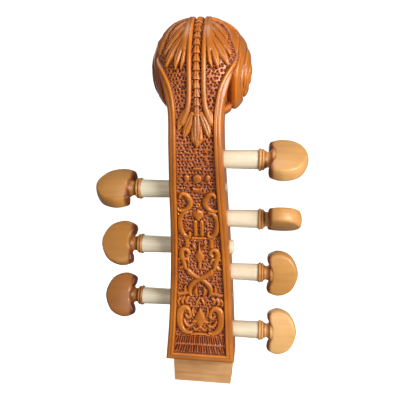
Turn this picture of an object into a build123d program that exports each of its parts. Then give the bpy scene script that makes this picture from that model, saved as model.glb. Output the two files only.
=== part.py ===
from build123d import *
import os
from collections import namedtuple
from math import cos, radians, sin

# Head of a carved string instrument: pegbox with scroll finial, neck stub and seven tuning pegs.
# Millimetres. +Z runs up the neck axis to the finial, the carved back faces -Y, the open string
# side faces +Y. The origin is the centre of the flat lower end of the neck stub.

# Back of the pegbox, seen from the side: straight, arc, counter-arc, straight, finial.
BOX_BOTTOM = 20.0          # height of the pegbox's lower edge
BACK_AT_BOTTOM = -27.0     # Y of the back at that edge
START_SLOPE = 3.0          # degrees from the neck axis
FIRST_STRAIGHT = 18.0
LOWER_RADIUS = 160.0
STEEP_SLOPE = 32.0
UPPER_RADIUS = 150.0
THROAT_SLOPE = 12.0
LAST_STRAIGHT = 26.0
FINIAL_RADIUS = 28.8

# Pegbox
DEPTH_BOTTOM = 36.0        # front to back at the lower edge
DEPTH_THROAT = 24.0        # front to back below the finial
HALF_WIDTHS = ((21.3, 20.0), (20.1, 39.0), (18.8, 65.0), (16.0, 120.0), (14.6, 152.0), (14.4, 166.0),
               (15.6, 179.0), (17.4, 190.0), (17.2, 202.0), (13.5, 214.0), (7.5, 222.0))
ROLL_OVER = 135.0          # degrees that the back's strip turns over the finial
WALL = 5.5                 # cheek thickness
FLOOR = 6.5                # back thickness, carved panel included
RIM = 4.4                  # smooth rim round the sunk panel
PANEL_SINK = 1.6
PANEL_TOP = 184.0
MORTISE_BOTTOM = 28.0      # lower end of the string hollow
MORTISE_TOP = 156.0

# Volute on each side of the finial
VOLUTE_WIDTH = 2.2
VOLUTE_DEPTH = 1.6
VOLUTE_RADII = (21.0, 16.5, 12.5, 9.0, 6.0)

# Neck stub
STUB_WIDTH = 40.0
STUB_DEPTH = 18.0
STUB_END_WIDTH = 37.0
STUB_END_DEPTH = 17.0
TENON = (24.0, 10.0, 6.0)
GLUE_GAP = 0.1

# Pegs. Taper is on the diameter.
TAPER = 1 / 30
COLLAR_SHANK = 10.8        # shank diameter where it enters the collar
RUNNING_GAP = 0.05         # radial, shank to pegbox
STRING_HOLE = 2.2
TIP_CHAMFER = 0.6
PEG_TENON = 6.5
TENON_LENGTH = 9.0
SOCKET_GAP = 0.04
SOCKET_SPARE = 0.5         # depth left past the tenon
STEM_SINK = 0.8            # stem's overlap into the head
HOLE_REACH = 30.0          # past both cheeks
COLLAR_LENGTH = 3.4
COLLAR_DIAMETER = 12.7
STEM_DIAMETER = 8.6
STEM_LENGTH = 4.4
HEAD_HALF_WIDTH = 14.3
HEAD_THICKNESS = 11.0
HEAD_DOME = 60.0           # radius of each domed face
FIRST_PEG_DEPTH = 16.0     # peg axis below the back, first to last peg
LAST_PEG_DEPTH = 13.0


# Hand-made pegs differ a little. side is +1 on the right; distance runs along the back; collar is
# the X of the collar's face; turn is the head's angle about its axis; tip_out is past the far wall.
Peg = namedtuple("Peg", "number side distance collar head_length turn tip_out")
PEGS = (
    Peg(1, 1, 17.0, 35.6, 17.0, 2.0, -0.3),
    Peg(2, -1, 34.5, 39.1, 18.5, -12.0, -0.3),
    Peg(3, 1, 52.5, 34.7, 17.5, 15.0, -0.3),
    Peg(4, -1, 68.0, 37.4, 20.0, -22.0, 2.0),
    Peg(5, 1, 86.5, 34.0, 18.5, 74.0, -0.3),
    Peg(6, -1, 105.5, 34.0, 21.0, -48.0, -0.3),
    Peg(7, 1, 126.5, 33.5, 20.0, -47.0, -0.3),
)


def slope_vectors(slope):
    """Direction along the back and the normal into the wood, in (Y, Z)."""
    angle = radians(slope)
    return (-sin(angle), cos(angle)), (cos(angle), sin(angle))


def step(point, direction, length):
    return (point[0] + direction[0] * length, point[1] + direction[1] * length)


def flat(vector):
    return (vector.X, vector.Y)


def back_chain(inset):
    """The back curve moved into the wood by inset, as four tangent edges in (Y, Z)."""
    along, into = slope_vectors(START_SLOPE)
    start = step((BACK_AT_BOTTOM, BOX_BOTTOM), into, inset)
    first = Line(start, step(start, along, FIRST_STRAIGHT))
    lower = JernArc(first @ 1, along, LOWER_RADIUS + inset, STEEP_SLOPE - START_SLOPE)
    steep = slope_vectors(STEEP_SLOPE)[0]
    upper = JernArc(lower @ 1, steep, UPPER_RADIUS - inset, THROAT_SLOPE - STEEP_SLOPE)
    throat = slope_vectors(THROAT_SLOPE)[0]
    last = Line(upper @ 1, step(flat(upper @ 1), throat, LAST_STRAIGHT))
    return [first, lower, upper, last]


def back_point(distance, depth):
    """Point at a distance along the back and a depth into the wood, as (Y, Z)."""
    for edge in back_chain(0.0):
        if distance <= edge.length:
            break
        distance -= edge.length
    share = distance / edge.length
    tangent = edge % share
    return step(flat(edge @ share), (tangent.Y, -tangent.X), depth)


def finial_centre():
    end = flat(back_chain(0.0)[-1] @ 1)
    return step(end, slope_vectors(THROAT_SLOPE)[1], FINIAL_RADIUS)


def band(near_edges, far_edges):
    """Side outline between two curves that both run upwards, on the YZ plane."""
    bottom = Line(near_edges[0] @ 0, far_edges[0] @ 0)
    top = Line(near_edges[-1] @ 1, far_edges[-1] @ 1)
    return Plane.YZ * make_face([*near_edges, *far_edges, bottom, top])


def front_edge():
    """Front edge of the cheeks, from the nut end to under the finial."""
    along = slope_vectors(START_SLOPE)[0]
    throat_along, throat_into = slope_vectors(THROAT_SLOPE)
    start = (BACK_AT_BOTTOM + DEPTH_BOTTOM, BOX_BOTTOM)
    throat = step(flat(back_chain(0.0)[-1] @ 1), throat_into, DEPTH_THROAT)
    return Spline(start, throat, tangents=(along, throat_along), tangent_scalars=(1.2, 1.0))


def width_solid(inset, bottom, top):
    """Solid through the pegbox in Y, as wide as the pegbox less an inset on each side."""
    right = Spline(*[(half - inset, height) for half, height in HALF_WIDTHS])
    left = Spline(*[(inset - half, height) for half, height in HALF_WIDTHS])
    low = Line(left @ 0, right @ 0)
    high = Line(left @ 1, right @ 1)
    outline = Plane.XZ * make_face([left, right, low, high])
    slab = Pos(0, 0, (bottom + top) / 2) * Box(120, 300, top - bottom)
    return extrude(outline, amount=150, both=True) & slab


def pegbox_block():
    """Outer shape of the pegbox: its back rolls over the finial, a ball with a volute each side."""
    chain = back_chain(0.0)
    roll = JernArc(chain[-1] @ 1, chain[-1] % 1, FINIAL_RADIUS, -ROLL_OVER)
    side = extrude(band([*chain, roll], [front_edge()]), amount=60, both=True)
    body = side & width_solid(0.0, BOX_BOTTOM, HALF_WIDTHS[-1][1])
    y, z = finial_centre()
    return body + Pos(0, y, z) * Sphere(FINIAL_RADIUS)


def string_hollow():
    """The open trough between the cheeks."""
    clear_front = Line((60, 0), (60, 260))
    trough = extrude(band(back_chain(FLOOR), [clear_front]), amount=60, both=True)
    return trough & width_solid(WALL, MORTISE_BOTTOM, MORTISE_TOP)


def carved_panel():
    """The sunk ground of the carved back, inside its rims."""
    skin = extrude(band(back_chain(-3.0), back_chain(PANEL_SINK)), amount=60, both=True)
    return skin & width_solid(RIM, BOX_BOTTOM + RIM, PANEL_TOP)


def spiral(offset):
    """Half-circle arcs of shrinking radius round the finial's centre, widened by offset."""
    y, z = finial_centre()
    arcs = []
    centre = y
    sign = -1
    for index, radius in enumerate(VOLUTE_RADII):
        reach = radius + offset
        arcs.append(CenterArc((centre, z), reach, 180 * index, 180))
        if index + 1 < len(VOLUTE_RADII):
            centre += sign * (radius - VOLUTE_RADII[index + 1])
            sign = -sign
    return arcs


def volute_groove():
    """Spiral groove cut into both sides of the finial."""
    outer = spiral(VOLUTE_WIDTH / 2)
    inner = spiral(-VOLUTE_WIDTH / 2)
    start = Line(outer[0] @ 0, inner[0] @ 0)
    end = Line(outer[-1] @ 1, inner[-1] @ 1)
    face = Plane.YZ * make_face([*outer, *inner, start, end])
    y, z = finial_centre()
    shell = Sphere(FINIAL_RADIUS + 2) - Sphere(FINIAL_RADIUS - VOLUTE_DEPTH)
    groove = extrude(face, amount=60, both=True) & (Pos(0, y, z) * shell)
    return groove - Pos(0, y, z) * Box(2 * HALF_WIDTHS[-1][0] + 4, 90, 90)


def shank_radius(distance):
    """Shank radius at a distance from the collar."""
    return COLLAR_SHANK / 2 - distance * TAPER / 2


def half_width_at(height):
    """Half width of the pegbox at a height, between the points of its outline."""
    for (low_half, low), (high_half, high) in zip(HALF_WIDTHS, HALF_WIDTHS[1:]):
        if height <= high:
            break
    share = (height - low) / (high - low)
    return low_half + (high_half - low_half) * share


def peg_place(peg):
    """Placement of a peg: local +X runs out to its head, turned about its own axis."""
    share = peg.distance / PEGS[-1].distance
    depth = FIRST_PEG_DEPTH + (LAST_PEG_DEPTH - FIRST_PEG_DEPTH) * share
    y, z = back_point(peg.distance, depth)
    facing = Location() if peg.side > 0 else Rot(0, 0, 180)
    return Pos(0, y, z) * Rot(peg.turn, 0, 0) * facing


def tapered_rod(start, end, collar, gap):
    """Solid round taper along local X from start to end."""
    near = shank_radius(collar - start) + gap
    far = shank_radius(collar - end) + gap
    cone = Cone(near, far, end - start)
    return Pos((start + end) / 2, 0, 0) * Rot(0, 90, 0) * cone


def peg_shaft(peg):
    """Tapered shank with a tenon for the head and a hole for the string."""
    place = peg_place(peg)
    tip = -half_width_at(place.position.Z) - peg.tip_out
    rod = tapered_rod(tip, peg.collar, peg.collar, 0.0)
    rod = chamfer(rod.edges().sort_by(Axis.X)[0], TIP_CHAMFER)
    tenon = Pos(peg.collar + TENON_LENGTH / 2, 0, 0) * Rot(0, 90, 0)
    rod += tenon * Cylinder(PEG_TENON / 2, TENON_LENGTH)
    hole = Pos(place.position) * Rot(90, 0, 0) * Cylinder(STRING_HOLE / 2, 4 * COLLAR_SHANK)
    return place * rod - hole


def head_outline(length):
    """Kidney outline of the head: two lobes reach back towards the collar."""
    widest = HEAD_HALF_WIDTH
    upper = [(0.8, 4.0), (-1.4, 8.4), (0.7, 12.6), (0.36 * length, widest), (0.78 * length, 0.73 * widest)]
    lower = [(u, -v) for u, v in reversed(upper)]
    edge = Spline(*upper, (length, 0), *lower)
    return Plane.XZ * make_face([edge, Line(edge @ 0, edge @ 1)])


def head_blade(length):
    """Thick kidney with two shallow domed faces."""
    blade = extrude(head_outline(length), amount=HEAD_THICKNESS, both=True)
    reach = HEAD_DOME - HEAD_THICKNESS / 2
    middle = 0.45 * length
    blade &= Pos(middle, reach, 0) * Sphere(HEAD_DOME)
    blade &= Pos(middle, -reach, 0) * Sphere(HEAD_DOME)
    return blade


def collar_outline(collar):
    """Turned collar with two beads, then the waisted stem, as a half section."""
    radius = COLLAR_DIAMETER / 2
    stem = STEM_DIAMETER / 2
    end = collar + COLLAR_LENGTH
    bead = COLLAR_LENGTH / 4
    rise = Line((collar, 0), (collar, radius - 0.5))
    first = ThreePointArc(rise @ 1, (collar + bead, radius), (collar + 2 * bead, radius - 0.5))
    second = ThreePointArc(first @ 1, (collar + 3 * bead, radius - 0.1), (end, radius - 0.7))
    waist = ThreePointArc(second @ 1, (end + 1.6, stem), (end + STEM_LENGTH, stem + 0.6))
    fall = Line(waist @ 1, (end + STEM_LENGTH, 0))
    axis = Line(fall @ 1, (collar, 0))
    return Plane.XY * make_face([rise, first, second, waist, fall, axis])


def peg_head(peg):
    """Turned collar and stem with the flat kidney, and a blind socket for the shaft's tenon."""
    root = peg.collar + COLLAR_LENGTH + STEM_LENGTH - STEM_SINK
    head = Pos(root, 0, 0) * head_blade(peg.head_length)
    head += revolve(collar_outline(peg.collar), Axis.X)
    socket = TENON_LENGTH + SOCKET_SPARE
    hole = Pos(peg.collar + socket / 2, 0, 0) * Rot(0, 90, 0)
    head -= hole * Cylinder(PEG_TENON / 2 + SOCKET_GAP, socket)
    return peg_place(peg) * head


def peg_hole(peg):
    """Tapered hole right through both cheeks."""
    return peg_place(peg) * tapered_rod(-HOLE_REACH, HOLE_REACH, peg.collar, RUNNING_GAP)


def stub_tenon(gap):
    width, depth, height = TENON
    size = (width + 2 * gap, depth + 2 * gap, height + gap)
    return Pos(0, 0, BOX_BOTTOM + (height + gap) / 2) * Box(*size)


def neck_stub():
    """Neck graft, wider where it meets the pegbox, with a tenon let into the block."""
    low = Rectangle(STUB_END_WIDTH, STUB_END_DEPTH)
    high = Pos(0, 0, BOX_BOTTOM) * Rectangle(STUB_WIDTH, STUB_DEPTH)
    return loft([low, high]) + stub_tenon(0.0)


def pegbox():
    block = pegbox_block() - string_hollow()
    block -= carved_panel()
    block -= volute_groove()
    for peg in PEGS:
        block -= peg_hole(peg)
    return block - stub_tenon(GLUE_GAP)


def save(shape, name):
    export_step(shape, f"parts/{name}.step")


os.makedirs("parts", exist_ok=True)
save(pegbox(), "pegbox")
save(neck_stub(), "neck_stub")
for peg in PEGS:
    save(peg_shaft(peg), f"peg_shaft_{peg.number}")
    save(peg_head(peg), f"peg_head_{peg.number}")
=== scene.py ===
import math
import bpy
import numpy as np
from mathutils import Matrix, Vector


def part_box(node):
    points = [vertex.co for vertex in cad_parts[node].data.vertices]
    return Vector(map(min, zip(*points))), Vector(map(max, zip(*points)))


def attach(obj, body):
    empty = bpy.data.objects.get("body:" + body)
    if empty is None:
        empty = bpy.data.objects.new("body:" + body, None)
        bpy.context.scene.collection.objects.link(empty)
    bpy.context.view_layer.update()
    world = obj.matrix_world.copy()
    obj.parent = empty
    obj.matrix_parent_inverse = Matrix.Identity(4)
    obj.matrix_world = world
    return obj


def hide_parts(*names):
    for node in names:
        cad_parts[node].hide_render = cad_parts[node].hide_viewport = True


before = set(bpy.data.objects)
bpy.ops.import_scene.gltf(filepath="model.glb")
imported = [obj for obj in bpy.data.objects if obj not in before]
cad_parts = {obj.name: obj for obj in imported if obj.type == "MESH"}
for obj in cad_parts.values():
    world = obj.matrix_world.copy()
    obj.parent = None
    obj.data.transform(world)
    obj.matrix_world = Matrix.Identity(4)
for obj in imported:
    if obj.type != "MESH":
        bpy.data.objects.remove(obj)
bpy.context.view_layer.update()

# ---------------------------------------------------------------- dimensions, in millimetres
MM = 0.001


def cad_corners(node):
    """Lowest and highest corner of a CAD node, in millimetres."""
    low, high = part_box(node)
    return np.array(low) / MM, np.array(high) / MM


BOX_LOW, BOX_HIGH = cad_corners("pegbox")
BALL = BOX_HIGH[0]                  # radius of the finial

# The back of the pegbox from the side: straight, arc, counter-arc, straight, then round the finial.
START = np.radians(3.0)
STEEP = np.radians(32.0)
THROAT = np.radians(12.0)
FIRST_STRAIGHT = 18.0
LOWER_RADIUS = 160.0
UPPER_RADIUS = 150.0
LAST_STRAIGHT = 26.0
BACK_AT_BOTTOM = -27.0
SPANS = np.cumsum([FIRST_STRAIGHT, LOWER_RADIUS * (STEEP - START),
                   UPPER_RADIUS * (STEEP - THROAT), LAST_STRAIGHT])
ROLL_START = SPANS[-1]              # distance along the back where the finial's round begins
ROUND = 2 * np.pi * BALL
FULLNESS = 2.15                     # 2 is a round ball, more is squarer across

DEPTH_BOTTOM = 36.0
DEPTH_THROAT = 24.0
CHEEK_LEAN = 0.038                  # share of the width lost from the back to the cheeks' front edges
WALL = 5.5
FLOOR = 6.5
RIM = 4.4
SINK = 1.55                         # ground of the carving below the rims
SKIN = 3.0                          # thickness of the carved sheet at its sides
HOLLOW = (8.1, 144.5)               # the string hollow, as distances along the back

# Carving
DIMPLE_PITCH = 1.9
DIMPLE_RADIUS = 0.86
DIMPLE_DEPTH = 0.75
STROKES_TOP = 15.6                  # the chisel strokes end at this distance along the back
STROKE_ROW = 5.6
STROKE_DEPTH = 0.62
HUSK_PITCH = 4.45
FINIAL_GRID = 0.27                  # mesh spacing where the finial is carved
VOLUTE_RADIUS = 20.8
VOLUTE_PITCH = 7.0                  # radius lost in one lap of the volute
VOLUTE_LEVEL = 1.1                  # depth of the volute's ground
WEAR_HIGHLIGHT_AND_SHADE_GAIN = 0.9                     # edge wear with a painted highlight for each millimetre a point stands proud, painted shade for each millimetre it sinks

# Pegs, numbered from the lowest to the highest
TURNS = {1: 2.0, 2: -12.0, 3: 15.0, 4: -22.0, 5: 74.0, 6: -48.0, 7: -47.0}      # degrees about the axis
TONES_AND_SIDE_SHADE = {1: 1.0, 2: 0.0, 3: 0.62, 4: 0.38, 5: 0.68, 6: 0.48, 7: 0.8}            # wood from dark 0 to pale 1: each head's own tone, with painted shade on the left-hand heads (even numbers) and painted light on the right-hand ones
TAPER = 1 / 30
COLLAR_SHANK = 10.8
RUNNING_GAP = 0.05
COLLAR_LENGTH = 3.4
COLLAR_RADIUS = 6.35
STEM_LENGTH = 4.4
STEM_SINK = 0.8
HEAD_HALF_WIDTH = 14.3
HEAD_HALF_THICK = 5.5


# ---------------------------------------------------------------- the back curve and its widths
def ease(x, low, high):
    t = np.clip((x - low) / (high - low), 0, 1)
    return t * t * (3 - 2 * t)


def through(x, points):
    """Smooth curve through a few (x, y) points."""
    xs, ys = np.array(points, float).T
    steps = np.diff(ys) / np.diff(xs)
    slopes = np.concatenate([[steps[0]], (steps[1:] + steps[:-1]) / 2, [steps[-1]]])
    x = np.clip(x, xs[0], xs[-1])
    i = np.clip(np.searchsorted(xs, x) - 1, 0, len(xs) - 2)
    h = xs[i + 1] - xs[i]
    t = (x - xs[i]) / h
    return ((1 + 2 * t) * (1 - t) ** 2 * ys[i] + t * (1 - t) ** 2 * h * slopes[i]
            + t * t * (3 - 2 * t) * ys[i + 1] + t * t * (t - 1) * h * slopes[i + 1])


def back_curve(s):
    """Y, Z and slope of the back at distances s from its lower edge."""
    s = np.asarray(s, float)
    spans = ((0.0, SPANS[0], START, np.inf), (SPANS[0], SPANS[1], START, LOWER_RADIUS),
             (SPANS[1], SPANS[2], STEEP, -UPPER_RADIUS), (SPANS[2], SPANS[3], THROAT, np.inf),
             (SPANS[3], SPANS[3] + ROUND, THROAT, -BALL))
    y = np.full(s.shape, BACK_AT_BOTTOM)
    z = np.full(s.shape, BOX_LOW[2])
    slope = np.full(s.shape, START)
    for begin, end, angle, radius in spans:
        along = np.clip(s, begin, end) - begin
        if np.isinf(radius):
            y = y - np.sin(angle) * along
            z = z + np.cos(angle) * along
        else:
            turned = angle + along / radius
            y = y + radius * (np.cos(turned) - np.cos(angle))
            z = z + radius * (np.sin(turned) - np.sin(angle))
            slope = np.where(s > begin, turned, slope)
    return y, z, slope


CENTRE_Y, CENTRE_Z = (float(v) for v in back_curve(ROLL_START)[:2])
CENTRE_Y += BALL * np.cos(THROAT)
CENTRE_Z += BALL * np.sin(THROAT)


def outer_edge(s):
    """Half width of the carved strip: the rims' outer edges, then the edge of the finial's carved field."""
    return through(s, ((0, 21.3), (19, 20.1), (46, 18.8), (75, 17.3), (105, 15.8), (141, 14.55), (152, 14.7),
                       (160, 15.7), (168, 17.8), (174, 19.6), (180, 20.9), (186, 21.6), (196, 21.4),
                       (216, 20.6), (245, 20.0), (270, 17.0), (295, 12.0)))


def rim_width(s):
    return through(s, ((0, RIM), (141, 4.2), (152, 4.3), (160, 4.5), (167, 4.7), (173, 3.7), (178, 1.9),
                       (184, 0.0), (300, 0.0)))


def centre_line(s):
    """The carver's centre line wanders a little from the true middle near the finial."""
    return 1.1 * ease(s, 75, 150) * (1 - ease(s, 196, 235))


def crown(x):
    """How far the finial's roundness across drops its surface below the side outline."""
    return BALL * (1 - (1 - np.clip(np.abs(x) / BALL, 0, 1) ** FULLNESS) ** (1 / FULLNESS))


def surface(x, s, depth):
    """Points at (x, s), a depth into the wood, in millimetres."""
    y, z, slope = back_curve(s)
    blend = ease(s, 136, ROLL_START)
    down = crown(x)
    tilt = np.sign(x) * (np.abs(x) / BALL) ** (FULLNESS - 1)
    rise = np.clip(1 - down / BALL, 1e-6, 1) ** (FULLNESS - 1)
    size = np.hypot(tilt, rise)
    tilt = blend * tilt / size
    rise = np.sqrt(1 - tilt ** 2)
    inward = down * blend + depth * rise
    return np.stack([x - tilt * depth, y + np.cos(slope) * inward, z + np.sin(slope) * inward], axis=-1)


# ---------------------------------------------------------------- carving, as heights over (x, s)
def dome(distance, half, sharp=0.5):
    """1 at the middle of a carved strand, 0 at its edge."""
    return np.clip(1 - (distance / half) ** 2, 0, 1) ** sharp


def spread(points, count=14):
    """Smooth path through given points."""
    points = np.array(points, float)
    at = np.arange(len(points))
    fine = np.linspace(0, len(points) - 1, (len(points) - 1) * count + 1)
    return np.stack([through(fine, list(zip(at, points[:, k]))) for k in range(points.shape[1])], axis=1)


class Field:
    """Heights being carved over a grid of (x, s)."""

    def __init__(self, x, s):
        self.x = x
        self.s = s
        self.across = np.abs(x)
        self.height = np.zeros_like(x)

    def near(self, path, reach):
        """Part of the grid close to a path."""
        low = path.min(axis=0) - reach
        high = path.max(axis=0) + reach
        inside = ((self.across >= low[0]) & (self.across <= high[0])
                  & (self.s >= low[1]) & (self.s <= high[1]))
        return np.nonzero(inside)

    def strand(self, points, widths, height, sharp=0.5, vein=0.0):
        """A carved strand along a path, mirrored in the centre line. widths run along the path."""
        path = spread(points)
        widths = np.interp(np.linspace(0, 1, len(path)), np.linspace(0, 1, len(widths)), widths)
        where = self.near(path, widths.max())
        a, s = self.across[where], self.s[where]
        best = np.full(a.shape, -1.0)
        middle = np.zeros(a.shape)
        for (p, q, wp, wq) in zip(path[:-1], path[1:], widths[:-1], widths[1:]):
            run = q - p
            t = np.clip(((a - p[0]) * run[0] + (s - p[1]) * run[1]) / max(run @ run, 1e-9), 0, 1)
            width = np.maximum(wp + (wq - wp) * t, 0.05)
            far = np.hypot(a - p[0] - t * run[0], s - p[1] - t * run[1])
            value = 1 - far / width
            better = value > best
            best = np.where(better, value, best)
            middle = np.where(better, far, middle)
        top = height * dome(1 - np.clip(best, 0, 1), 1.0, sharp)
        if vein:
            top -= vein * np.exp(-(middle / 0.28) ** 2) * (best > 0.15)
        top = np.where(best > 0, top, 0)
        self.height[where] = np.maximum(self.height[where], top)

    def groove(self, points, half, depth):
        """A cut line along a path, over what is already carved."""
        path = spread(points)
        where = self.near(path, 3 * half)
        a, s = self.across[where], self.s[where]
        far = np.min([np.hypot(a - p[0], s - p[1]) for p in path], axis=0)
        self.height[where] -= depth * np.exp(-(far / half) ** 2)

    def knob(self, a, s, radius, height, stretch=1.0):
        """A round or oval boss."""
        far = np.hypot(self.across - a, (self.s - s) / stretch)
        self.height = np.maximum(self.height, height * dome(far, radius))

    def ring(self, a, s, radius, width, height):
        far = np.abs(np.hypot(self.across - a, self.s - s) - radius)
        self.height = np.maximum(self.height, height * dome(far, width))


def carve_vase(f):
    """Bottom group: a spade leaf between two large C-scrolls, on a bar."""
    f.strand([(0.0, 34.0), (0.0, 30.4), (0.0, 27.0), (0.0, 24.2)], (0.3, 1.9, 3.4, 2.3), 1.55)
    f.strand([(0.0, 25.6), (3.0, 25.2), (5.2, 24.6)], (1.8, 1.4, 0.4), 1.25)
    f.knob(0.0, 21.9, 1.5, 1.3)
    f.strand([(1.2, 20.8), (2.8, 19.7), (4.0, 20.8)], (0.7, 0.9, 0.5), 1.0)
    f.strand([(6.4, 30.6), (7.6, 32.9), (9.8, 33.6), (12.2, 31.6), (13.0, 27.4), (12.6, 23.0), (10.8, 19.4),
              (8.0, 17.8), (5.6, 17.9)], (1.0, 1.3, 1.8, 2.2, 2.3, 2.1, 1.8, 1.4, 0.9), 1.6, vein=0.15)
    f.strand([(6.4, 30.6), (6.1, 28.6), (7.5, 27.4), (8.9, 28.8)], (1.1, 1.3, 1.1, 0.8), 1.3)
    f.strand([(10.0, 25.4), (8.8, 23.0), (6.8, 21.9), (5.4, 22.8)], (0.8, 1.1, 1.1, 0.7), 1.15)
    f.strand([(4.0, 28.6), (4.8, 31.2), (4.4, 33.8)], (0.7, 1.0, 0.4), 1.05)
    f.strand([(0.0, 17.2), (3.2, 17.1), (5.8, 16.5)], (0.9, 0.9, 0.7), 1.1)


def carve_cross(f):
    """Crossed straps with leaf sprays at the sides."""
    f.strand([(0.0, 52.8), (3.2, 50.8), (5.7, 47.8), (6.6, 44.4), (5.6, 41.6)],
             (1.5, 1.5, 1.6, 1.4, 0.6), 1.4)
    f.strand([(0.0, 52.8), (3.4, 54.7), (6.4, 56.8), (7.4, 59.0)], (1.5, 1.4, 1.9, 0.8), 1.4)
    f.strand([(6.2, 43.4), (9.2, 43.2), (12.6, 42.4), (14.4, 43.6)], (1.1, 1.3, 1.1, 0.4), 1.25)
    f.strand([(8.9, 43.0), (9.4, 46.0), (8.9, 48.6)], (1.1, 0.9, 0.3), 1.1)
    for a, s in ((7.6, 40.2), (10.2, 39.8), (12.8, 39.2)):
        f.strand([(a, s), (a + 1.1, s - 1.8), (a + 0.6, s - 3.9)], (1.0, 1.1, 0.3), 0.95)
    f.strand([(2.3, 47.2), (2.9, 44.2), (1.9, 41.2)], (0.4, 1.2, 0.4), 1.0)
    f.strand([(0.6, 40.0), (1.9, 37.6), (2.6, 35.4)], (0.7, 0.9, 0.3), 0.95)


def carve_scrolls(f):
    """Upright S-scrolls with spurs, round a bud on a short stem."""
    f.strand([(7.6, 68.0), (6.4, 69.8), (7.9, 72.2), (10.2, 71.5), (11.0, 68.6), (10.1, 65.2), (9.4, 61.8),
              (8.6, 59.2)], (1.0, 1.2, 1.3, 1.6, 1.7, 1.6, 1.4, 1.0), 1.45)
    f.strand([(9.6, 61.4), (11.4, 59.8), (13.2, 59.6)], (1.2, 1.1, 0.3), 1.15)
    f.strand([(9.6, 65.6), (7.6, 65.6), (6.8, 63.8)], (1.2, 1.2, 0.6), 1.2)
    f.strand([(10.6, 66.4), (12.6, 65.4), (13.6, 63.6)], (1.0, 0.9, 0.3), 1.0)
    f.strand([(0.0, 76.6), (0.0, 72.0), (0.0, 69.0), (0.0, 67.2), (0.0, 65.2)],
             (0.3, 0.8, 2.1, 3.0, 1.6), 1.55)
    f.strand([(0.0, 63.6), (0.0, 60.2)], (1.1, 1.1), 1.1)
    f.strand([(7.2, 74.4), (7.2, 78.2)], (1.3, 1.3), 1.15, sharp=0.35)
    f.strand([(2.6, 73.0), (3.8, 75.4), (2.9, 77.6)], (0.7, 0.7, 0.4), 0.8)


def carve_lyre(f):
    """Two upright bars on a base between bulging C-scrolls, under a pointed bud and a small ring."""
    f.strand([(1.85, 82.2), (1.85, 90.8)], (1.1, 1.1), 1.25, sharp=0.3)
    f.strand([(0.0, 79.9), (3.8, 79.9)], (0.85, 0.85), 1.1, sharp=0.35)
    f.strand([(6.2, 97.4), (8.6, 96.4), (10.7, 92.6), (11.0, 88.0), (9.7, 83.4), (7.6, 81.2), (5.6, 81.6),
              (5.4, 83.4)], (0.9, 1.3, 1.7, 1.8, 1.6, 1.4, 1.1, 0.8), 1.5)
    f.strand([(5.4, 80.2), (7.4, 79.0), (9.0, 79.8)], (0.7, 0.8, 0.5), 0.95)
    f.strand([(11.0, 95.4), (12.6, 96.6), (13.2, 98.6)], (0.7, 0.8, 0.3), 0.9)
    f.strand([(0.0, 99.0), (0.0, 95.8), (0.0, 93.2)], (0.3, 3.1, 1.3), 1.45)
    f.ring(0.0, 102.0, 0.95, 0.6, 1.0)


def carve_crest(f):
    """Paired C-scrolls, a small bowl, a disc between drops and an arc."""
    f.strand([(10.0, 107.4), (8.8, 109.2), (6.6, 108.7), (4.6, 105.8), (4.3, 102.6), (6.2, 99.6), (9.0, 98.3),
              (11.4, 98.8)], (0.9, 1.3, 1.6, 1.7, 1.6, 1.4, 1.1, 0.6), 1.5)
    f.strand([(11.2, 98.8), (12.4, 100.6), (12.2, 102.4)], (0.7, 0.7, 0.3), 0.95)
    f.strand([(0.0, 111.9), (1.5, 112.1), (2.3, 113.2)], (1.3, 1.2, 0.5), 1.15)
    f.strand([(0.0, 118.9), (0.0, 118.5)], (2.4, 2.4), 1.5, sharp=0.28)
    f.knob(5.8, 119.0, 1.6, 1.3, 1.35)
    f.strand([(6.2, 116.8), (7.4, 114.9)], (0.8, 0.4), 0.8)
    f.strand([(0.0, 124.6), (1.4, 124.5), (2.3, 124.1)], (0.8, 0.8, 0.3), 0.9)


def carve_terminal(f):
    """Veined leaf at the throat, from which the ribs rise."""
    f.strand([(4.6, 157.0), (6.9, 153.0), (8.7, 149.6), (9.8, 145.6)], (1.3, 2.3, 2.1, 0.4), 1.35, vein=0.35)
    f.strand([(2.4, 154.0), (4.3, 149.2), (5.8, 145.2), (6.7, 141.4)], (1.3, 2.3, 2.0, 0.3), 1.5, vein=0.35)
    f.strand([(0.0, 136.6), (0.0, 141.2), (0.0, 146.0), (0.0, 153.2)], (0.3, 3.5, 2.9, 2.2), 1.7)
    for a in (0.0, 1.7):
        f.groove([(a, 152.6), (1.15 * a, 146.0), (0.7 * a, 141.0 - 0.6 * a)], 0.3, 0.45)


def carve_chain(f):
    """Husks between two smooth ribs, running up and over the finial."""
    f.strand([(7.6, 149.6), (5.0, 156.0), (4.0, 164.0), (3.9, 180.0), (3.9, 200.0), (3.9, 230.0),
              (3.9, 255.0), (3.4, 290.0)], (1.9, 1.5, 1.35, 1.3, 1.25, 1.2, 1.2, 1.1), 1.6, sharp=0.4)
    begin, end = 153.5, 288.0
    place = (f.s - begin) / HUSK_PITCH
    part = place - np.floor(place)
    half = 1.15 + 1.05 * (1 - part) ** 1.2
    husk = dome(f.across, half, 0.5) * (0.45 + 0.55 * (1 - part) ** 0.8)
    husk = husk * ease(part, 0.0, 0.07)
    husk -= 0.2 * np.exp(-(f.across / 0.25) ** 2) * (part > 0.1)
    husk = np.where((f.s > begin) & (f.s < end), husk, 0)
    f.height = np.maximum(f.height, 1.5 * husk)


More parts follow.
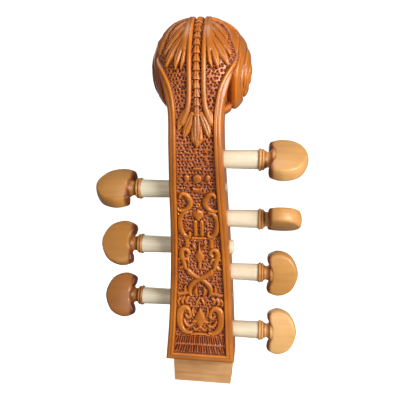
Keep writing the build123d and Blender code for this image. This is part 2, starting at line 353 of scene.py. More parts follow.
LEAF = (((6.6, 207.0), (10.2, 203.6), (13.2, 199.4), (15.2, 194.8), (1.2, 2.3, 2.2, 0.4)),
        ((7.4, 200.6), (11.4, 196.2), (14.8, 191.0), (17.4, 185.6), (1.8, 2.6, 2.5, 0.4)),
        ((7.6, 194.4), (11.2, 189.8), (14.2, 184.4), (16.4, 178.6), (1.8, 2.6, 2.5, 0.4)),
        ((7.2, 190.6), (9.0, 186.2), (10.4, 181.6), (11.3, 176.8), (1.8, 2.3, 2.0, 0.3)),
        ((6.1, 189.6), (6.5, 185.0), (7.2, 180.8), (8.3, 176.6), (0.8, 1.2, 1.2, 0.3)))
MIRROR = 214.0                      # the leaf repeats over the front, turned about this distance


def carve_leaves(f):
    """Acanthus on each side of the ribs, and again over the front."""
    for over in (False, True):
        def place(points):
            return [(a, 2 * MIRROR - s) for a, s in points] if over else list(points)
        f.strand(place([(5.2, 214.0), (5.7, 204.0), (6.4, 196.0), (7.0, 187.6)]), (1.0, 2.2, 3.3, 2.2), 1.75)
        f.strand(place([(7.0, 208.0), (9.6, 200.0), (11.4, 192.0), (11.4, 186.6)]), (2.6, 4.2, 4.2, 1.6),
                 0.95, sharp=0.3)
        for *points, widths in LEAF:
            f.strand(place(points), widths, 1.9, sharp=0.85, vein=0.4)
        f.strand(place([(12.8, 211.0), (17.6, 205.4), (20.2, 198.4), (21.0, 187.4)]), (0.8, 2.4, 2.9, 0.5),
                 1.5, sharp=0.5, vein=0.3)
        f.strand(place([(6.4, 213.0), (11.0, 213.0), (16.0, 210.4), (20.0, 204.4)]), (1.0, 1.9, 2.1, 0.6),
                 1.5)


def punched(x, s, pitch, radius, depth, seed):
    """Dimples of a punched ground: one near the middle of each cell, a little out of line."""
    out = np.zeros_like(x)
    row = np.floor(s / pitch)
    for dr in (-1, 0, 1):
        for dc in (-1, 0, 1):
            r = row + dr
            c = np.floor(x / pitch + 0.5 * (r % 2)) + dc
            noise = np.sin(r * 127.1 + c * 311.7 + seed) * 43758.5453
            wob_x = (noise - np.floor(noise)) - 0.5
            noise = np.sin(r * 269.5 + c * 183.3 + seed) * 24634.6345
            wob_s = (noise - np.floor(noise)) - 0.5
            cx = (c + 0.5 - 0.5 * (r % 2) + 0.6 * wob_x) * pitch
            cs = (r + 0.5 + 0.6 * wob_s) * pitch
            far = np.hypot(x - cx, s - cs)
            size = radius * (1 + 0.25 * wob_x)
            out = np.maximum(out, depth * np.clip(1 - (far / size) ** 2, 0, 1))
    return out


def strokes(x, s):
    """Two rows of chisel strokes that fan out over the ground below the vase."""
    row = np.floor((s - RIM) / STROKE_ROW)
    along = (s - RIM) / STROKE_ROW - row
    fan = x * (1 + 0.022 * (s - 10.0)) / 1.5 + 0.5 * (row % 2) + 0.12 * np.sin(2.3 * x + 5 * row)
    stroke = np.abs(np.sin(np.pi * fan)) ** 1.4
    return STROKE_DEPTH * stroke * ease(along, 0.0, 0.16) * (1 - ease(along, 0.84, 1.0))


def field(x, s):
    """Height of the ornament over the carved ground."""
    middle = x - centre_line(s)
    f = Field(middle, s)
    for carve in (carve_vase, carve_cross, carve_scrolls, carve_lyre, carve_crest, carve_terminal,
                  carve_chain, carve_leaves):
        carve(f)
    return f.height


def carved_depth(x, s):
    """Depth of the carving below the nominal surface, and how raised each point is."""
    wide = outer_edge(s)
    rim = rim_width(s)
    height = field(x, s)
    edge = wide - np.abs(x)                       # distance in from the outer edge
    inside = np.minimum(edge - rim, s - RIM)      # positive on the carved ground
    ground = SINK * ease(inside, -0.15, 0.4 + 3.6 * ease(s, 186, 200))
    dots = punched(x, s, DIMPLE_PITCH, DIMPLE_RADIUS, DIMPLE_DEPTH, 3.0)
    marks = np.where(s < STROKES_TOP, strokes(x, s), dots)
    pits = marks * ease(inside, 0.45, 0.8)
    relief = height * ease(inside, 0.1, 0.7)
    covered = ease(relief, 0.05, 0.4)
    depth = ground + pits * (1 - covered) - relief
    # raised also colours the carving: the material paints the deep ground and the punched pits darker, as
    # painted shade in the recesses
    raised = np.clip(1 - depth / (SINK + 0.6), 0, 1)
    bead = inside + 1.7                           # 0 to 1.7 across the rims' inner bead
    on_bead = np.clip(1 - ((bead - 0.85) / 0.85) ** 2, 0, 1) * (rim > 1.2)
    depth = depth - 0.28 * np.sqrt(on_bead) * (inside < 0.05)
    depth = depth + 0.10 * np.exp(-(bead / 0.22) ** 2) * (rim > 1.2)
    return depth, raised


def skirt_depth(s):
    """Depth of the carved sheet's lower side; the finial's round makes it deeper."""
    return SKIN + 7.0 * ease(s, 138, 158)


def rounded_over(distance, radius):
    """Depth of a rounded edge at a distance in from it."""
    fall = np.clip(1 - distance / radius, 0, 1)
    return radius * (1 - np.sqrt(np.clip(1 - fall ** 2, 0, 1)))


# ---------------------------------------------------------------- meshes
def grid_faces(rows, columns, wrap=False):
    index = np.arange(rows * columns).reshape(rows, columns)
    if wrap:
        index = np.concatenate([index, index[:1]], axis=0)
    a, b = index[:-1, :-1], index[1:, :-1]
    c, d = index[1:, 1:], index[:-1, 1:]
    return np.stack([a, d, c, b], axis=-1).reshape(-1, 4).tolist()


def make_object(name, points, faces):
    """Mesh object from millimetre points."""
    mesh = bpy.data.meshes.new(name)
    mesh.from_pydata((np.asarray(points).reshape(-1, 3) * MM).tolist(), [], faces)
    mesh.validate()
    piece = bpy.data.objects.new(name, mesh)
    bpy.context.scene.collection.objects.link(piece)
    return piece


def shade(piece, angle):
    """Smooth shading that breaks at edges sharper than the angle, in degrees."""
    piece.data.polygons.foreach_set("use_smooth", [True] * len(piece.data.polygons))
    piece.data.set_sharp_from_angle(angle=math.radians(angle))
    piece.data.update()


def add_values(piece, name, values):
    layer = piece.data.attributes.new(name, "FLOAT", "POINT")
    flat = np.ones(len(piece.data.vertices), np.float32)
    given = np.asarray(values, np.float32).ravel()
    flat[:len(given)] = given
    layer.data.foreach_set("value", flat)


def blurred(values, reach):
    """Mean over a square window of the grid."""
    padded = np.pad(values, reach, mode="edge")
    total = np.cumsum(np.cumsum(padded, axis=0), axis=1)
    total = np.pad(total, ((1, 0), (1, 0)))
    n = 2 * reach + 1
    return (total[n:, n:] - total[:-n, n:] - total[n:, :-n] + total[:-n, :-n]) / n ** 2


def carved_back():
    """Closed sheet with the carved panel, its rims and the rounded outer edges. Its faces wind inwards."""
    rows = int(ROLL_START / 0.24)
    s = np.linspace(0.0, ROLL_START, rows)
    even = np.linspace(-1, 1, 171)
    across = np.sign(even) * (1 - (1 - np.abs(even)) ** 1.1)
    s_grid, u = np.meshgrid(s, across, indexing="ij")
    wide = outer_edge(s_grid)
    x = u * wide
    depth, raised = carved_depth(x, s_grid)
    # the wear value lightens proud edges (edge wear with a painted highlight) and darkens hollows (painted
    # shade)
    wear_highlight_and_crevice_shade = np.clip(0.5 + WEAR_HIGHLIGHT_AND_SHADE_GAIN * (blurred(depth, 3) - depth), 0, 1)
    rounding = 2.0 - 0.9 * ease(s_grid, 150, 172)
    depth = depth + rounded_over(np.minimum(wide - np.abs(x), s_grid), rounding)
    top = surface(x, s_grid, depth)
    skirt = skirt_depth(s)
    sides = [surface(sign * outer_edge(s), s, skirt) for sign in (-1, 1)]
    points = np.concatenate([top.reshape(-1, 3), sides[0], sides[1]])
    columns = len(across)
    faces = grid_faces(rows, columns)
    left, right = rows * columns, rows * columns + rows
    for i in range(rows - 1):
        a, b = i * columns, (i + 1) * columns
        faces.append([a, b, left + i + 1, left + i])
        faces.append([b - 1, right + i, right + i + 1, b + columns - 1])
        faces.append([left + i, left + i + 1, right + i + 1, right + i])
    faces.append(list(range(columns)) + [right, left])
    last_row = list(range(rows * columns - 1, (rows - 1) * columns - 1, -1))
    faces.append(last_row + [left + rows - 1, right + rows - 1])
    piece = make_object("carved_back", points, faces)
    add_values(piece, "raised", raised)
    add_values(piece, "wear_highlight_and_crevice_shade", wear_highlight_and_crevice_shade)
    shade(piece, 50)
    return piece


def latitude_columns():
    """X of the finial's grid columns: fine where the carving is, coarser at the poles."""
    angle = np.linspace(0, np.radians(89.5), 4000)
    x = BALL * np.sin(angle) ** (2 / FULLNESS)
    radius = BALL * np.cos(angle) ** (2 / FULLNESS)
    length = np.concatenate([[0], np.cumsum(np.hypot(np.diff(x), np.diff(radius)))])
    edge_length = np.interp(23.0, x, length)
    fine = np.arange(0, edge_length, FINIAL_GRID)
    coarse = np.linspace(fine[-1], length[-1], 62)[1:]
    half = np.interp(np.concatenate([fine, coarse]), length, x)
    return np.concatenate([-half[:0:-1], half])


def volute(x, s):
    """Depth of the scroll carved on each side of the finial."""
    radius = BALL * (1 - np.clip(np.abs(x) / BALL, 0, 1) ** FULLNESS) ** (1 / FULLNESS)
    turn = (s - ROLL_START) / ROUND
    depth = np.full(x.shape, VOLUTE_LEVEL)
    for lap in range(-1, 3):
        off = radius - (VOLUTE_RADIUS - VOLUTE_PITCH * (turn + lap))
        band = np.clip(-off / VOLUTE_PITCH, 0, 1)
        arch = np.where((off < 0) & (off > -VOLUTE_PITCH), (4 * band * (1 - band)) ** 0.45, 0)
        depth = depth - VOLUTE_LEVEL * arch
        depth = depth + 0.9 * np.exp(-(off / 0.55) ** 2)
    under = ease(turn, 0.74, 0.90) + 1 - ease(turn, 0.0, 0.07)
    strands = np.abs(np.sin(np.pi * (radius / 3.2 + 9.0 * turn)))
    depth = depth + 0.9 * (1 - strands) ** 1.5 * under * ease(radius, 5, 8) * (1 - ease(radius, 17.5, 19))
    eye = VOLUTE_LEVEL + 0.9 * ease(radius, 4.0, 4.7) - 1.2 * dome(radius, 4.4)
    return np.where(radius < 5.6, eye, depth)


def finial():
    """The scroll: a full round about the X axis, carved over its back, top and sides."""
    fine = np.arange(0, 118, FINIAL_GRID)
    coarse = np.linspace(fine[-1], ROUND - 0.6, 150)[1:]
    s = ROLL_START + np.concatenate([fine, coarse])
    x = latitude_columns()
    s_grid, x_grid = np.meshgrid(s, x, indexing="ij")
    depth, raised = carved_depth(x_grid, s_grid)
    edge = outer_edge(s_grid) - np.abs(x_grid)
    side = volute(x_grid, s_grid)
    front = ease(s_grid, 296, 304)
    edge = edge * (1 - front) - 3.0 * front
    on_side = 1 - ease(edge, -0.9, 0.1)
    crest = ease(s_grid, 186, 200) * (1 - ease(s_grid, 262, 280))
    lip = 0.7 * np.exp(-((edge + 0.7) / 0.5) ** 2) * (1 - crest)
    level = crest * (1 - ease(-edge, 0.5, 7.0))
    side = side * (1 - level) + 0.3 * level + 1.1 * ease(-x_grid, 12, 23)
    depth = depth * (1 - on_side) + (side + lip) * on_side
    # painted shade: the finial's left side, turned away from the key light, is painted darker; its sunk side
    # ground darkens it further
    painted_shade = 0.42 * ease(-x_grid, 17, 24) * (1 - crest)
    # painted shade in the volute: the deeper parts of the sides are painted darker
    raised = raised * (1 - on_side) + on_side * np.clip(1.05 - side / 2.4 - painted_shade, 0, 1)
    below = 2 * ROLL_START + ROUND - s_grid       # the last part of the round lies inside the pegbox
    hidden = (s_grid > ROLL_START + ROUND - 34) & (np.abs(x_grid) < outer_edge(below) - 0.8)
    depth = np.where(hidden, depth + 4.0, depth)
    # the wear value lightens proud edges (edge wear with a painted highlight) and darkens hollows (painted
    # shade)
    wear_highlight_and_crevice_shade = np.clip(0.5 + WEAR_HIGHLIGHT_AND_SHADE_GAIN * (blurred(depth, 3) - depth), 0, 1)
    top = surface(x_grid, s_grid, depth)
    rows, columns = s_grid.shape
    poles = [[sign * (BALL - 0.4), CENTRE_Y, CENTRE_Z] for sign in (-1, 1)]
    points = np.concatenate([top.reshape(-1, 3), poles])
    faces = grid_faces(rows, columns, wrap=True)
    for i in range(rows):
        a, b = i * columns, ((i + 1) % rows) * columns
        faces.append([rows * columns, a, b])
        faces.append([rows * columns + 1, b + columns - 1, a + columns - 1])
    piece = make_object("scroll_finial", points, faces)
    add_values(piece, "raised", raised)
    add_values(piece, "wear_highlight_and_crevice_shade", wear_highlight_and_crevice_shade)
    shade(piece, 55)
    return piece


def front_curve(t):
    """Y and Z of the cheeks' front edge, from the lower edge to the throat."""
    y, z, _ = back_curve(ROLL_START)
    end = np.array([y + np.cos(THROAT) * DEPTH_THROAT, z + np.sin(THROAT) * DEPTH_THROAT])
    start = np.array([BACK_AT_BOTTOM + DEPTH_BOTTOM, BOX_LOW[2]])
    length = np.hypot(*(end - start))
    first = 1.2 * length * np.array([-np.sin(START), np.cos(START)])
    last = length * np.array([-np.sin(THROAT), np.cos(THROAT)])
    t = np.asarray(t)[..., None]
    return ((2 * t ** 3 - 3 * t ** 2 + 1) * start + (t ** 3 - 2 * t ** 2 + t) * first
            + (3 * t ** 2 - 2 * t ** 3) * end + (t ** 3 - t ** 2) * last)


def box_section(half, back, deep, hollow):
    """Half outline of a section, back to front to middle: (distance from the middle, depth)."""
    radius, lip = 1.6, 0.7
    turn = np.radians(np.linspace(0, 90, 6))
    outer = [(half - radius + radius * np.cos(a), deep - radius + radius * np.sin(a)) for a in turn]
    inner = [(half - WALL + lip - lip * np.sin(a), deep - lip + lip * np.cos(a))
             for a in np.radians([0, 30, 60, 90])]
    if not hollow:
        inner = [(q, deep) for q, _ in inner]
    floor = FLOOR + (back - SKIN) * 0.6 if hollow else deep
    corner = [(half - WALL, floor + 1.2), (half - WALL - 0.4, floor + 0.4), (half - WALL - 1.2, floor)]
    if not hollow:
        corner = [(q, deep) for q, _ in corner]
    return [(half, back), *outer, *inner, *corner]


def pegbox_body():
    """Cheeks, floor and front of the pegbox, open at the front for the strings. See drill about its holes."""
    s_rows = np.unique(np.concatenate([np.arange(0, ROLL_START + 8, 1.5), HOLLOW]))
    sections = []
    for s in s_rows:
        states = [HOLLOW[0] < s < HOLLOW[1]]
        if s == HOLLOW[0]:
            states = [False, True]
        if s == HOLLOW[1]:
            states = [True, False]
        for hollow in states:
            sections.append((s, hollow))
    points = []
    for s, hollow in sections:
        y, z, slope = (float(v) for v in back_curve(min(s, ROLL_START)))
        z += max(s - ROLL_START, 0.0) * math.cos(THROAT)
        y -= max(s - ROLL_START, 0.0) * math.sin(THROAT) * 0.2
        front = front_curve(min(s / ROLL_START, 1.0))
        reach = np.array([front[0] - y, front[1] + max(s - ROLL_START, 0.0) - z])
        deep = float(np.hypot(*reach))
        into = np.array([np.cos(slope), np.sin(slope)])
        half = float(outer_edge(min(s, 154.0)))
        back = float(skirt_depth(min(s, ROLL_START)))
        profile = box_section(half, back, deep, hollow)
        ring = profile + [(-q, d) for q, d in reversed(profile)]
        for q, d in ring:
            share = (d - back) / (deep - back)
            at = np.array([y, z]) + (1 - share) * into * d + share * reach * d / deep
            points.append((q * (1 - CHEEK_LEAN * share), at[0], at[1]))
    count = len(sections)
    size = len(points) // count
    faces = []
    for i in range(count - 1):
        for j in range(size):
            k = (j + 1) % size
            faces.append([i * size + j, (i + 1) * size + j, (i + 1) * size + k, i * size + k])
    faces.append(list(range(size)))
    faces.append(list(range(count * size - 1, (count - 1) * size - 1, -1)))
    piece = make_object("pegbox_body", points, faces)
    for number in TURNS:
        drill(piece, number)
    add_values(piece, "raised", [])
    add_values(piece, "wear_highlight_and_crevice_shade", [0.5] * len(piece.data.vertices))
    shade(piece, 40)
    return piece


def peg_axis(number):
    """Side (+1 right), X of the collar's face, and (Y, Z) of a peg's axis."""
    low, high = cad_corners(f"peg_head_{number}")
    side = 1 if high[0] + low[0] > 0 else -1
    collar = low[0] if side > 0 else -high[0]
    shaft_low, shaft_high = cad_corners(f"peg_shaft_{number}")
    middle = (shaft_low + shaft_high) / 2
    return side, collar, middle[1], middle[2]


def drill(piece, number):
    """Marks the outline of a peg's tapered hole on both cheeks.

    It is meant to cut the hole through, but the cutter's faces wind inwards, so nothing is removed.
    Reversing every face of the cutter would make them wind outwards.
    """
    side, collar, y, z = peg_axis(number)
    reach = 30.0
    near = COLLAR_SHANK / 2 + RUNNING_GAP - (collar - reach) * TAPER / 2
    far = COLLAR_SHANK / 2 + RUNNING_GAP - (collar + reach) * TAPER / 2
    angle = np.radians(np.arange(0, 360, 360 / 64))
    rings = [(reach, near), (-reach, far)]
    points = [(side * x, y + r * np.cos(a), z + r * np.sin(a)) for x, r in rings for a in angle]
    n = len(angle)
    faces = [[j, (j + 1) % n, n + (j + 1) % n, n + j] for j in range(n)]
    faces += [list(range(n - 1, -1, -1)), list(range(n, 2 * n))]
    if side < 0:
        faces = [face[::-1] for face in faces]
    cutter = make_object("cutter", points, faces)
    cut = piece.modifiers.new("hole", "BOOLEAN")
    cut.object = cutter
    cut.solver = "EXACT"
    graph = bpy.context.evaluated_depsgraph_get()
    mesh = bpy.data.meshes.new_from_object(piece.evaluated_get(graph))
    piece.modifiers.clear()
    piece.data = mesh
    bpy.data.objects.remove(cutter)


# ---------------------------------------------------------------- peg heads
def head_outline(length):
    """Kidney outline of a head's face, as (u, v): u runs out along the peg, v across."""
    half = HEAD_HALF_WIDTH
    right = [(1.0, 0.0), (0.7, 4.0), (-1.3, 8.2), (-0.7, 12.2), (0.34 * length, half),
             (0.78 * length, 0.73 * half), (length, 0.0)]
    both = right + [(u, -v) for u, v in right[-2:0:-1]] + [right[0]]
    closed = both[-3:-1] + both + both[1:3]
    at = np.arange(-2, len(closed) - 2)
    fine = np.linspace(0, len(both) - 1, 241)[:-1]
    return np.stack([through(fine, list(zip(at, [p[k] for p in closed]))) for k in (0, 1)], axis=1)


def outline_distance(u, v, outline):
    """Signed distance to a closed outline, negative inside."""
    best = np.full(u.shape, 1e9)
    inside = np.zeros(u.shape, bool)
    for p, q in zip(outline, np.roll(outline, -1, axis=0)):
        run = q - p
        t = np.clip(((u - p[0]) * run[0] + (v - p[1]) * run[1]) / (run @ run), 0, 1)
        best = np.minimum(best, np.hypot(u - p[0] - t * run[0], v - p[1] - t * run[1]))
        crosses = (p[1] > v) != (q[1] > v)
        rise = q[1] - p[1] if abs(q[1] - p[1]) > 1e-9 else 1e-9
        inside ^= crosses & (u < p[0] + (v - p[1]) / rise * run[0])
    return np.where(inside, -best, best)


def head_field(u, v, w, outline, length):
    """Signed distance, near enough, to a head with its stem."""
    far = np.hypot(u - 0.4 * length, v)
    half_thick = HEAD_HALF_THICK - far ** 2 / 120.0
    soft = 0.75
    edge = outline_distance(u, v, outline) + 0.042 * w ** 2
    a = edge + soft
    b = np.abs(w) - half_thick + soft
    block = np.hypot(np.maximum(a, 0), np.maximum(b, 0)) + np.minimum(np.maximum(a, b), 0) - soft
    along = np.clip((u + STEM_LENGTH - STEM_SINK) / STEM_LENGTH, 0, 1)
    waist = 4.8 - 0.65 * np.sin(np.pi * along ** 0.7) + 0.9 * along ** 2
    stem = np.hypot(v, w) - waist + 0.75 * np.maximum(u - 0.4, 0)
    k = 1.7
    h = np.clip(0.5 + 0.5 * (stem - block) / k, 0, 1)
    return stem * (1 - h) + block * h - k * h * (1 - h)


def collar_profile():
    """(distance from the collar's face, radius) of the turned double bead."""
    points = [(0.0, 5.5), (0.0, 5.9)]
    for start, width, radius in ((0.05, 1.75, COLLAR_RADIUS), (1.85, 1.45, COLLAR_RADIUS - 0.35)):
        for a in np.linspace(0.08, 0.92, 9):
            points.append((start + width * a, radius - 0.62 + 0.62 * math.sin(math.pi * a) ** 0.7))
    points.append((COLLAR_LENGTH, 5.1))
    return points


def peg_head(number):
    """A turned collar and stem that flares into a thick, soft-edged kidney."""
    side, collar, y, z = peg_axis(number)
    low, high = cad_corners(f"peg_head_{number}")
    root = COLLAR_LENGTH + STEM_LENGTH - STEM_SINK
    length = (high[0] - low[0]) - root
    outline = head_outline(length)
    count = 120
    around = np.linspace(0, 2 * np.pi, count, endpoint=False)
    centre = 0.42 * length
    first = math.atan2(4.7, centre + STEM_LENGTH - STEM_SINK)
    polar = np.concatenate([np.linspace(first, 1.25, 46), np.linspace(1.25, np.pi - 0.01, 76)[1:]])
    theta, psi = np.meshgrid(polar, around, indexing="ij")
    du, dv, dw = -np.cos(theta), np.sin(theta) * np.cos(psi), np.sin(theta) * np.sin(psi)
    near, out = np.full(theta.shape, 2.0), np.full(theta.shape, 24.0)
    for _ in range(18):
        mid = (near + out) / 2
        solid = head_field(centre + du * mid, dv * mid, dw * mid, outline, length) < 0
        near = np.where(solid, mid, near)
        out = np.where(solid, out, mid)
    radius = (near + out) / 2
    head = np.stack([root + centre + du * radius, dw * radius, dv * radius], axis=-1)
    turned = np.array(collar_profile())
    rings = np.stack([np.repeat(turned[:, :1], count, axis=1), turned[:, 1:] * np.sin(around),
                      turned[:, 1:] * np.cos(around)], axis=-1)
    head[..., 0] = np.minimum(head[..., 0], root + length)
    start = head[..., 0].mean(axis=1) > COLLAR_LENGTH + 0.05
    local = np.concatenate([rings, head[start]])
    cosine, sine = math.cos(math.radians(TURNS[number])), math.sin(math.radians(TURNS[number]))
    turned_y = local[..., 1] * (side * cosine) - local[..., 2] * sine
    turned_z = local[..., 1] * (side * sine) + local[..., 2] * cosine
    points = np.stack([side * (collar + local[..., 0]), y + turned_y, z + turned_z], axis=-1)
    rows = len(local)
    index = np.arange(rows * count).reshape(rows, count)
    index = np.concatenate([index, index[:, :1]], axis=1)
    quads = np.stack([index[:-1, :-1], index[1:, :-1], index[1:, 1:], index[:-1, 1:]], axis=-1)
    faces = quads.reshape(-1, 4).tolist()
    faces += [list(range(count - 1, -1, -1)), list(range((rows - 1) * count, rows * count))]
    piece = make_object(f"carved_head_{number}", points, faces)
    u = local[..., 0] - root
    reach = np.hypot(local[..., 1], local[..., 2])
    # stain value: painted shade in the collar's two grooves and at the collar's face against the cheek;
    # painted shade with a dark stain in the cove where the lobes meet the stem
    groove = np.exp(-((local[..., 0] - 1.82) / 0.16) ** 2)
    groove += 0.6 * np.exp(-((local[..., 0] - 3.42) / 0.2) ** 2)
    pit = (1 - ease(u, -0.6, 1.9)) * ease(u, -4.2, -1.2) * ease(reach, 3.8, 6.0)
    rim = 1 - ease(local[..., 0], 0.0, 0.35)
    add_values(piece, "stain_and_crease_shade", np.clip(groove + 0.95 * pit + 0.7 * rim, 0, 1))
    add_values(piece, "tone_and_side_shade", np.full(len(points.reshape(-1, 3)), TONES_AND_SIDE_SHADE[number]))
    shade(piece, 60)
    return piece


# ---------------------------------------------------------------- materials
def link(tree, *pairs):
    for source, target in pairs:
        tree.links.new(source, target)


def node(tree, kind, **settings):
    made = tree.nodes.new(kind)
    for name, value in settings.items():
        if name in made.inputs:
            made.inputs[name].default_value = value
        else:
            setattr(made, name, value)
    return made


def ramp(tree, stops):
    made = tree.nodes.new("ShaderNodeValToRGB")
    elements = made.color_ramp.elements
    while len(elements) < len(stops):
        elements.new(0.5)
    for element, (place, colour) in zip(elements, stops):
        element.position = place
        element.color = (*colour, 1)
    return made


def noise(tree, place, scale, size, detail=4.0, stretch=(1, 1, 1)):
    """Noise over object coordinates, stretched along the grain."""
    mapping = node(tree, "ShaderNodeMapping")
    mapping.inputs["Scale"].default_value = [scale * k for k in stretch]
    made = node(tree, "ShaderNodeTexNoise", Scale=size, Detail=detail)
    link(tree, (place.outputs["Object"], mapping.inputs["Vector"]),
         (mapping.outputs["Vector"], made.inputs["Vector"]))
    return made


def mix(tree, kind, share, first, second):
    made = node(tree, "ShaderNodeMix", data_type="RGBA", blend_type=kind)
    made.inputs[0].default_value = share if isinstance(share, float) else 0.5
    if not isinstance(share, float):
        link(tree, (share, made.inputs[0]))
    for value, socket in ((first, made.inputs[6]), (second, made.inputs[7])):
        if isinstance(value, tuple):
            socket.default_value = (*value, 1)
        else:
            link(tree, (value, socket))
    return made


def wood(name, tones, grain, streak, rough, coat, relief=False, painted_shade=False, contrast=0.55,
         grain_bump=0.02):
    """Wood: broad tone, fine streaks along the grain, and pores that also show in the surface."""
    material = bpy.data.materials.new(name)
    material.use_nodes = True
    tree = material.node_tree
    shader = tree.nodes["Principled BSDF"]
    place = node(tree, "ShaderNodeTexCoord")
    broad = noise(tree, place, 1.0, 38.0, 3.0)
    fine = noise(tree, place, 1.0, streak, 6.0, grain)
    pores = noise(tree, place, 1.0, streak * 3.2, 3.0, grain)
    base = ramp(tree, [(0.25, tones[0]), (0.5, tones[1]), (0.8, tones[2])])
    link(tree, (broad.outputs["Fac"], base.inputs["Fac"]))
    lines = ramp(tree, [(0.36, (0.60, 0.52, 0.42)), (0.56, (1.0, 1.0, 1.0)), (0.75, (1.12, 1.08, 1.0))])
    link(tree, (fine.outputs["Fac"], lines.inputs["Fac"]))
    colour = mix(tree, "MULTIPLY", contrast, base.outputs["Color"], lines.outputs["Color"]).outputs[2]
    # heads: own tone and stain, with painted shade in creases and on the left-hand heads, and painted light
    # on the right-hand heads
    if painted_shade:
        stain_and_crease_shade = node(tree, "ShaderNodeAttribute", attribute_name="stain_and_crease_shade")
        tone_and_side_shade = node(tree, "ShaderNodeAttribute", attribute_name="tone_and_side_shade")
        # tone ramp: each head's own wood tone, darkened as painted shade on the left-hand heads and lightened
        # as painted light on the right-hand heads
        own = ramp(tree, [(0.0, (0.66, 0.50, 0.32)), (0.5, (0.95, 0.92, 0.75)), (1.0, (1.28, 1.55, 2.1))])
        link(tree, (tone_and_side_shade.outputs["Fac"], own.inputs["Fac"]))
        colour = mix(tree, "MULTIPLY", 1.0, colour, own.outputs["Color"]).outputs[2]
        # darkens by the stain value: painted shade in the grooves and against the cheek, with a dark stain
        # near the stem
        stain_and_crease_shade_colour = ramp(tree, [(0.0, (1.0, 1.0, 1.0)), (0.5, (0.55, 0.36, 0.24)), (1.0, (0.22, 0.10, 0.05))])
        link(tree, (stain_and_crease_shade.outputs["Fac"], stain_and_crease_shade_colour.inputs["Fac"]))
        colour = mix(tree, "MULTIPLY", 1.0, colour, stain_and_crease_shade_colour.outputs["Color"]).outputs[2]
    if relief:
        raised = node(tree, "ShaderNodeAttribute", attribute_name="raised")
        wear_highlight_and_crevice_shade = node(tree, "ShaderNodeAttribute", attribute_name="wear_highlight_and_crevice_shade")
        # depth ramp: painted shade, darkest on the deep ground and in the pits, lighter on the ridges and the
        # relief
        depth = ramp(tree, [(0.0, (0.40, 0.19, 0.30)), (0.28, (1.02, 0.90, 1.80)), (0.75, (1.10, 1.14, 1.0))])
        # edge ramp: painted shade in hollows, edge wear with a painted highlight on proud edges
        edge = ramp(tree, [(0.30, (0.38, 0.26, 0.20)), (0.50, (1.0, 1.0, 1.0)), (0.72, (1.45, 1.42, 1.3))])
        link(tree, (raised.outputs["Fac"], depth.inputs["Fac"]), (wear_highlight_and_crevice_shade.outputs["Fac"], edge.inputs["Fac"]))
        colour = mix(tree, "MULTIPLY", 1.0, colour, depth.outputs["Color"]).outputs[2]
        colour = mix(tree, "MULTIPLY", 0.85, colour, edge.outputs["Color"]).outputs[2]
    link(tree, (colour, shader.inputs["Base Color"]))
    gloss = node(tree, "ShaderNodeMapRange")
    gloss.inputs["To Min"].default_value = rough[0]
    gloss.inputs["To Max"].default_value = rough[1]
    link(tree, (pores.outputs["Fac"], gloss.inputs["Value"]),
         (gloss.outputs["Result"], shader.inputs["Roughness"]))
    bump = node(tree, "ShaderNodeBump", Strength=grain_bump, Distance=0.0004)
    link(tree, (pores.outputs["Fac"], bump.inputs["Height"]),
         (bump.outputs["Normal"], shader.inputs["Normal"]))
    shader.inputs["Coat Weight"].default_value = coat
    shader.inputs["Coat Roughness"].default_value = 0.20
    return material


VARNISH = wood("varnished_maple", ((0.33, 0.085, 0.006), (0.45, 0.125, 0.009), (0.56, 0.185, 0.020)),
               (1, 1, 0.07), 420.0, (0.30, 0.45), 0.34, relief=True, contrast=0.16, grain_bump=0.06)
BARE = wood("bare_maple", ((0.55, 0.26, 0.085), (0.66, 0.34, 0.13), (0.76, 0.44, 0.20)), (0.06, 1, 1), 520.0,
            (0.42, 0.6), 0.1, contrast=0.45, grain_bump=0.18)
PALE = wood("pale_shaft_wood", ((0.82, 0.71, 0.49), (0.88, 0.79, 0.59), (0.92, 0.85, 0.69)),
            (0.07, 1, 1), 500.0, (0.35, 0.5), 0.15, contrast=0.25, grain_bump=0.10)
BOXWOOD = wood("boxwood", ((0.54, 0.235, 0.055), (0.62, 0.285, 0.075), (0.68, 0.335, 0.10)),
               (0.10, 1, 1), 360.0, (0.36, 0.50), 0.18, painted_shade=True, contrast=0.22, grain_bump=0.05)


def finish_with(piece, material):
    piece.data.materials.clear()
    piece.data.materials.append(material)


# ---------------------------------------------------------------- the object
for make in (carved_back, pegbox_body, finial):
    piece = make()
    finish_with(piece, VARNISH)
    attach(piece, "root")
    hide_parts("pegbox")

for number in TURNS:
    piece = peg_head(number)
    finish_with(piece, BOXWOOD)
    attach(piece, f"peg_{number}")
    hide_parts(f"peg_head_{number}")
    finish_with(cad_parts[f"peg_shaft_{number}"], PALE)
finish_with(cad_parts["neck_stub"], BARE)


# ---------------------------------------------------------------- studio
def plain(name, colour, glow=0.0):
    material = bpy.data.materials.new(name)
    material.use_nodes = True
    shader = material.node_tree.nodes["Principled BSDF"]
    shader.inputs["Base Color"].default_value = (*colour, 1)
    shader.inputs["Roughness"].default_value = 0.9
    shader.inputs["Emission Color"].default_value = (*colour, 1)
    shader.inputs["Emission Strength"].default_value = glow
    return material


def stage_piece(name, corners, faces, material):
    mesh = bpy.data.meshes.new(name)
    mesh.from_pydata(corners, [], faces)
    piece = bpy.data.objects.new(name, mesh)
    bpy.context.scene.collection.objects.link(piece)
    mesh.materials.append(material)
    piece.visible_glossy = False
    piece.visible_diffuse = False


def area_light(name, place, aim, size, power, colour=(1, 1, 1)):
    data = bpy.data.lights.new(name, "AREA")
    data.energy = power
    data.size = size
    data.color = colour
    lamp = bpy.data.objects.new(name, data)
    bpy.context.scene.collection.objects.link(lamp)
    lamp.location = place
    lamp.rotation_mode = "QUATERNION"
    lamp.rotation_quaternion = (Vector(aim) - Vector(place)).to_track_quat("-Z", "Y")


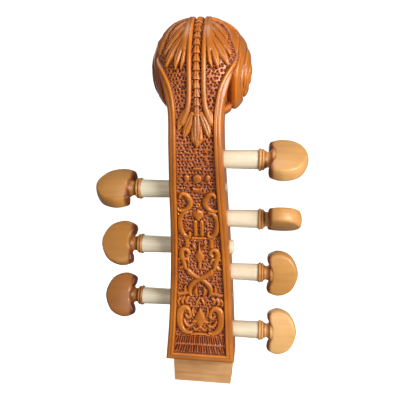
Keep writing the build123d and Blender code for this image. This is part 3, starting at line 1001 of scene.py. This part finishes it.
STAGE_RADIUS, STAGE_HEIGHT, FLOOR_LEVEL = 1.6, 3.0, -0.0005
STAGE_SIDES = 48
around = [2 * math.pi * k / STAGE_SIDES for k in range(STAGE_SIDES)]
ring = [(STAGE_RADIUS * math.cos(a), STAGE_RADIUS * math.sin(a)) for a in around]
stage_piece("floor", [(x, y, FLOOR_LEVEL) for x, y in ring], [list(range(STAGE_SIDES))],
            plain("floor_white", (0.93, 0.93, 0.93), 0.95))
wall_faces = [(k, (k + 1) % STAGE_SIDES, STAGE_SIDES + (k + 1) % STAGE_SIDES, STAGE_SIDES + k)
              for k in range(STAGE_SIDES)]
stage_piece("backdrop", [(x, y, z) for z in (FLOOR_LEVEL, STAGE_HEIGHT) for x, y in ring], wall_faces,
            plain("backdrop_white", (1, 1, 1), 1.0))

world = bpy.data.worlds.new("studio")
bpy.context.scene.world = world
world.use_nodes = True
world.node_tree.nodes["Background"].inputs["Color"].default_value = (1, 1, 1, 1)
world.node_tree.nodes["Background"].inputs["Strength"].default_value = 0.20

MIDDLE = (0.0, -0.04, 0.11)
area_light("key", (0.36, -0.36, 0.16), MIDDLE, 0.24, 2.6, (1.0, 0.98, 0.95))
area_light("top", (-0.05, -0.20, 0.75), MIDDLE, 0.30, 0.9)
area_light("fill", (-0.06, -0.80, 0.10), MIDDLE, 0.40, 1.4, (1.0, 0.97, 0.92))
area_light("behind", (-0.35, 0.80, 0.40), MIDDLE, 0.50, 1.5)

# ---------------------------------------------------------------- camera
CAMERA_PLACE = Vector((0.0351, -0.3030, 0.1234))
YAW, PITCH, ROLL = (math.radians(v) for v in (7.64, -0.63, 1.32))
LENS = 40.5                         # millimetres, on a 36 mm sensor
camera_data = bpy.data.cameras.new("camera")
camera_data.sensor_width = 36.0
camera_data.lens = LENS
camera_data.clip_start = 0.01
camera = bpy.data.objects.new("camera", camera_data)
bpy.context.scene.collection.objects.link(camera)
camera.matrix_world = (Matrix.Translation(CAMERA_PLACE) @ Matrix.Rotation(YAW, 4, "Z")
                       @ Matrix.Rotation(math.radians(90) + PITCH, 4, "X") @ Matrix.Rotation(ROLL, 4, "Z"))
bpy.context.scene.camera = camera
bpy.context.scene.view_settings.view_transform = "Standard"
